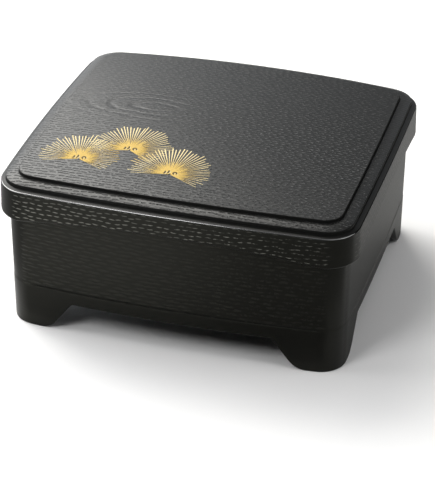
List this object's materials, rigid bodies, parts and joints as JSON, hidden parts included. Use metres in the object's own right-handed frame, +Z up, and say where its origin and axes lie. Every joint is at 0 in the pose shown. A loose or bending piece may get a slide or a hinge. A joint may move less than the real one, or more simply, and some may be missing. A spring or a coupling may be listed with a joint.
{
  "type": "lidded food box",
  "caption": "Square black food box with softly bowed sides on bracket feet, a hanging inner tray and a stepped, crowned lid whose skirt overlaps the tub with an arched lower edge.",
  "frame": {"origin": "on the table under the middle of the box, at the centre of the footprint", "axes": "+Z up, front towards -Y, width along X, depth along Y"},
  "size_m": [0.1808, 0.1676, 0.0843],
  "materials": {
    "black_resin": "satin black lacquer coat over moulded resin with a fine wood-grain texture",
    "vermilion_resin": "smooth glossy vermilion lacquer coat",
    "gold_print": "gold printed motif on the lid's top"
  },
  "bodies": {
    "tub": {"tub": "black_resin"},
    "lid": {"lid": "black_resin"},
    "tray": {"inner_tray": "vermilion_resin"}
  },
  "joints": [
    {"name": "lid_lift", "type": "slide", "parent": "tub", "child": "lid", "axis": [0, 0, 1], "range_m": [0, 0.08]},
    {"name": "tray_lift", "type": "slide", "parent": "tub", "child": "tray", "axis": [0, 0, 1], "range_m": [0, 0.04]}
  ],
  "couplings": [
    {"joint": "tray_lift", "follows": "lid_lift", "ratio": 0.5}
  ]
}
